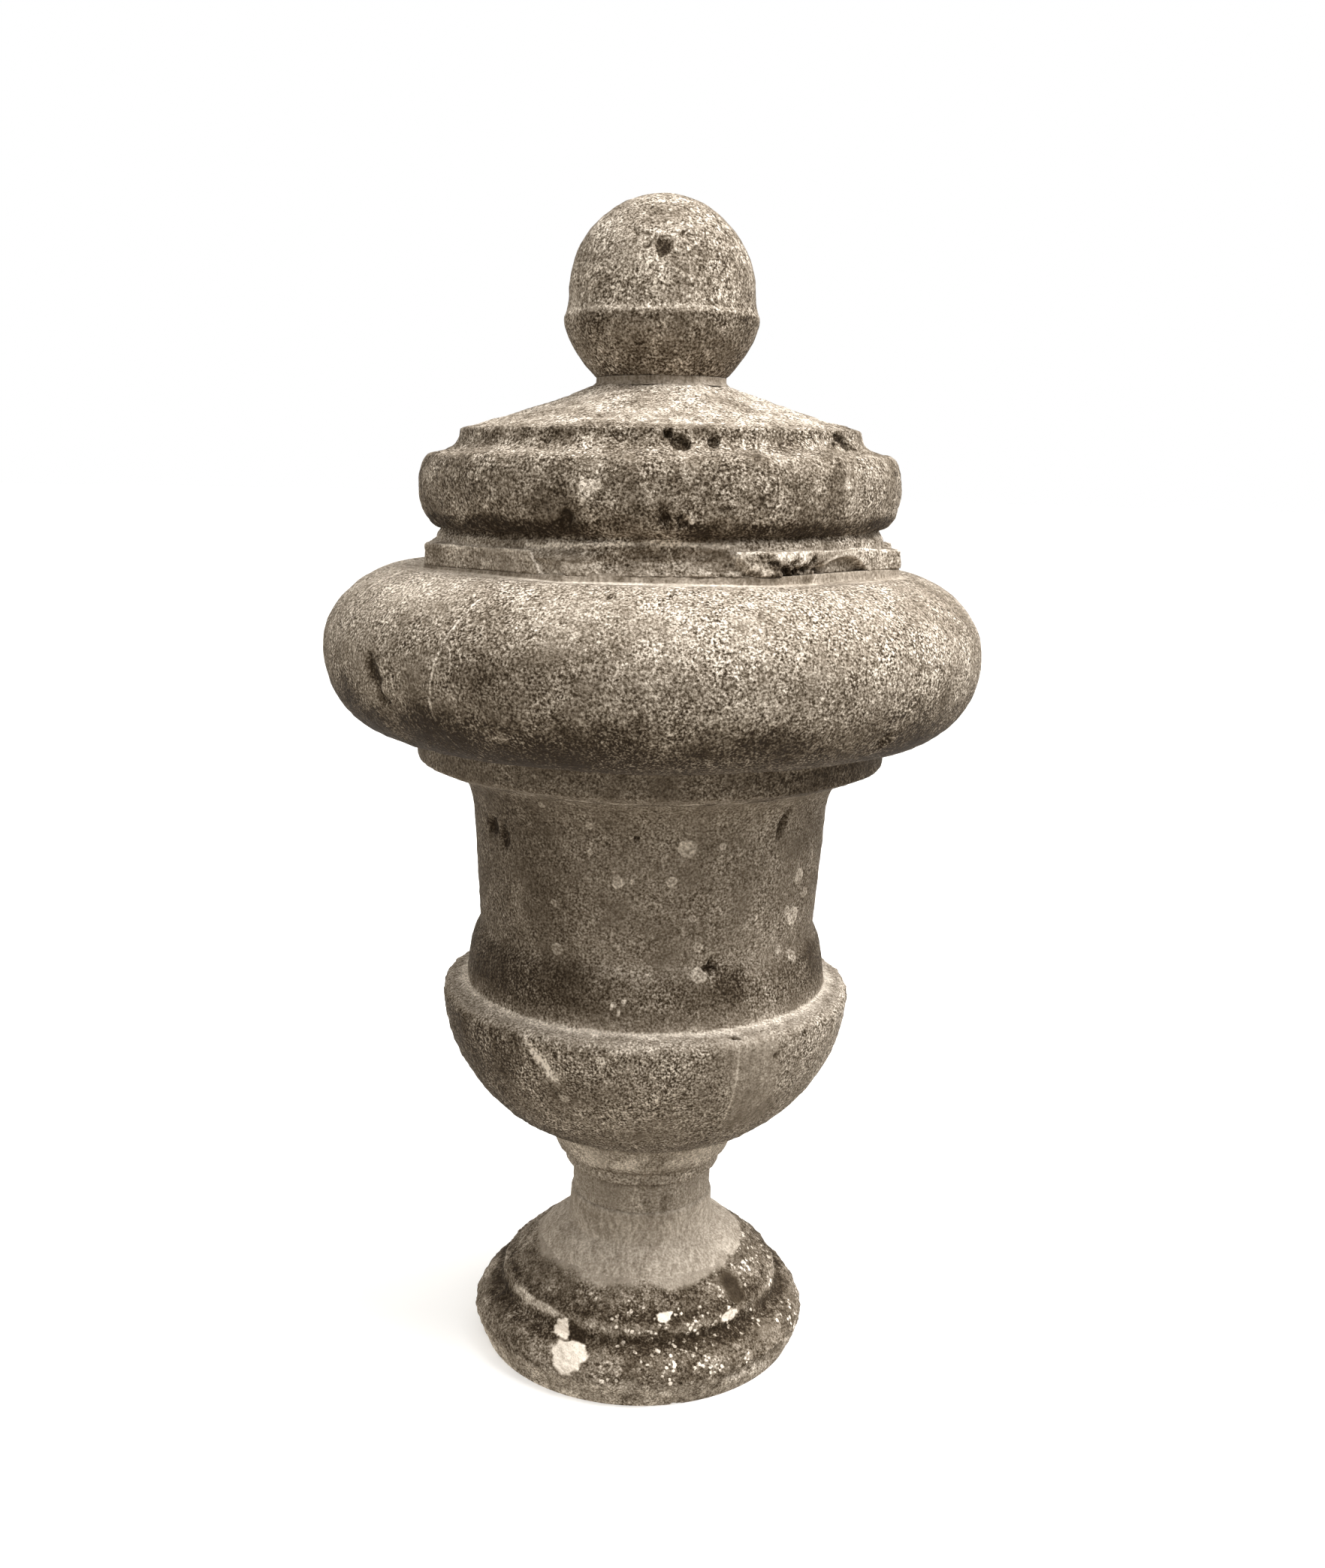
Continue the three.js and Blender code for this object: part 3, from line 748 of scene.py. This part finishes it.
    # Hollows in the lid's torus, whose dark floors are painted shade inside them.
    lid.pit(3.0, 0.16, -20.5, 37, 8, 6, ragged=0.6)
    lid.pit(3.5, 0.14, 1.0, 38, 4, 7, ragged=0.6)
    lid.pit(3.0, 0.15, 4.8, 35, 4, 5, ragged=0.6)
    lid.patch_mark("tone", 0.7, 6.4, 38, 4, 3, ragged=0.6)
    lid.patch_mark("tone", 0.74, -14.9, 58.8, 8, 5, ragged=0.5)
    lid.patch_mark("tone", 0.7, 44, 58.7, 4, 3)
    lid.build("lid", material, LID_PLACE)


def make_ball_mortar(material):
    profile = Profile(51, 127.3).to((48, 130)).to((48, 133.7))
    collar = Turned(profile, 16, 240, 0.5)
    collar.lift += 0.5 * collar.waves(12, 3, 16)
    collar.marks["tone"] = np.full(collar.lift.shape, 0.5)
    collar.build("ball_mortar", material, LID_PLACE)


def make_ball(material):
    profile = Profile(48, 134).to((58, 143), (72, 162.5), (72, 176.5)).to((68.9, 182.5), (68.5, 193)).dome(263)
    ball = Turned(profile, 140, 320, 0.4, [(168, 186)])
    blotch = ball.waves(25, 3, 17)
    ball.lift += 0.6 * ball.waves(40, 2, 18) + 0.4 * ball.waves(8, 3, 19)
    crown = step(178, 186, ball.height)
    # Painted shade: the ball is darker on its right side.
    ball.marks["tone"] = 0.46 + 0.06 * crown + 0.12 * blotch - 0.12 * np.maximum(0, np.sin(ball.angle))
    ball.marks["tone"] += 0.12 * band(177, 181, 1.5, ball.height) - 0.06 * band(170, 175, 2, ball.height)
    ball.marks["pore"] = 0.8 * crown + 0.4
    ball.marks["fleck"] = 0.15 + 0.1 * crown
    ball.pit(1.6, 0.14, -0.2, 218.5, 8, 7)
    ball.pit(1.0, 0.25, 16.7, 228, 7, 3)
    ball.build("ball", material, LID_PLACE)


# Stage


def make_floor():
    mesh = bpy.data.meshes.new("floor")
    turn = np.linspace(0, 2 * math.pi, 96, endpoint=False)
    rim = np.stack([30 * np.cos(turn), 30 * np.sin(turn), 0 * turn], 1)
    mesh.from_pydata(rim.tolist(), [], [list(range(96))])
    floor = bpy.data.objects.new("floor", mesh)
    bpy.context.scene.collection.objects.link(floor)
    material, tree = new_material("pale_floor")
    place = add(tree, "ShaderNodeTexCoord").outputs["Object"]
    tint = add(tree, "ShaderNodeTexNoise", {"Vector": place, "Scale": 3.0, "Detail": 3.0})
    shade = add(tree, "ShaderNodeMapRange", {"Value": tint.outputs["Fac"], 3: 0.8, 4: 0.84}).outputs[0]
    colour = add(tree, "ShaderNodeCombineColor", {0: shade, 1: shade, 2: shade}).outputs[0]
    shader = add(tree, "ShaderNodeBsdfPrincipled", {
        "Base Color": colour,
        "Roughness": 0.9,
        "Emission Color": colour,
        "Emission Strength": 0.35,
    })
    add(tree, "ShaderNodeOutputMaterial", {"Surface": shader.outputs[0]})
    mesh.materials.append(material)
    floor.visible_diffuse = False
    floor.visible_shadow = False


def make_light(name, place, target, size, power):
    """A square soft box that faces its target."""
    data = bpy.data.lights.new(name, "AREA")
    data.size = size
    data.energy = power
    light = bpy.data.objects.new(name, data)
    light.location = place
    aim = Vector(target) - Vector(place)
    light.rotation_euler = aim.to_track_quat("-Z", "Y").to_euler()
    bpy.context.scene.collection.objects.link(light)


def make_world():
    """Light that is strongest overhead, with a low glow from the ground, before a white backdrop."""
    world = bpy.data.worlds.new("studio")
    bpy.context.scene.world = world
    world.use_nodes = True
    tree = world.node_tree
    tree.nodes.clear()
    place = add(tree, "ShaderNodeTexCoord").outputs["Generated"]
    up = add(tree, "ShaderNodeSeparateXYZ", {0: place}).outputs["Z"]
    sky = calc(tree, "MULTIPLY", calc(tree, "MAXIMUM", up, 0.0), 1.75)
    below = calc(tree, "LESS_THAN", up, 0.0)
    fill = calc(tree, "MULTIPLY_ADD", below, 0.6, sky)
    tint = add(tree, "ShaderNodeMix", {"Factor": below, "A": (1.03, 1, 0.95, 1), "B": (1.1, 1, 0.85, 1)},
               data_type="RGBA")
    glow = add(tree, "ShaderNodeBackground", {"Color": tint.outputs["Result"], "Strength": fill})
    backdrop = add(tree, "ShaderNodeBackground", {"Color": (1, 1, 1, 1), "Strength": 1.0})
    seen = add(tree, "ShaderNodeLightPath").outputs["Is Camera Ray"]
    mixed = add(tree, "ShaderNodeMixShader", {0: seen, 1: glow.outputs[0], 2: backdrop.outputs[0]})
    add(tree, "ShaderNodeOutputWorld", {"Surface": mixed.outputs[0]})


def make_camera():
    data = bpy.data.cameras.new("camera")
    data.lens = CAMERA_LENS
    data.sensor_width = 36
    camera = bpy.data.objects.new("camera", data)
    heading = Matrix.Rotation(-CAMERA_YAW, 4, "Z")
    tilt = Matrix.Rotation(math.pi / 2 - CAMERA_PITCH, 4, "X")
    roll = Matrix.Rotation(-CAMERA_ROLL, 4, "Z")
    camera.matrix_world = Matrix.Translation((0, -CAMERA_DISTANCE, CAMERA_HEIGHT)) @ heading @ tilt @ roll
    bpy.context.scene.collection.objects.link(camera)
    bpy.context.scene.camera = camera


mortar = mortar_material()
make_foot()
make_foot_mortar(mortar)
make_body()
make_lid_mortar(mortar)
pale_stone = stone_material("pale_stone", 1.75, 0.55, 0.4, 0.8)
make_lid(pale_stone)
make_ball_mortar(mortar)
make_ball(pale_stone)

make_floor()
make_world()
make_light("high_key", (1.2, -0.6, 2.6), (0, 0, 0.5), 1.4, 80)
make_light("side_key", (2.2, 0.2, 1.6), (0, 0, 0.5), 1.4, 19)
make_camera()
bpy.context.scene.view_settings.view_transform = "Standard"
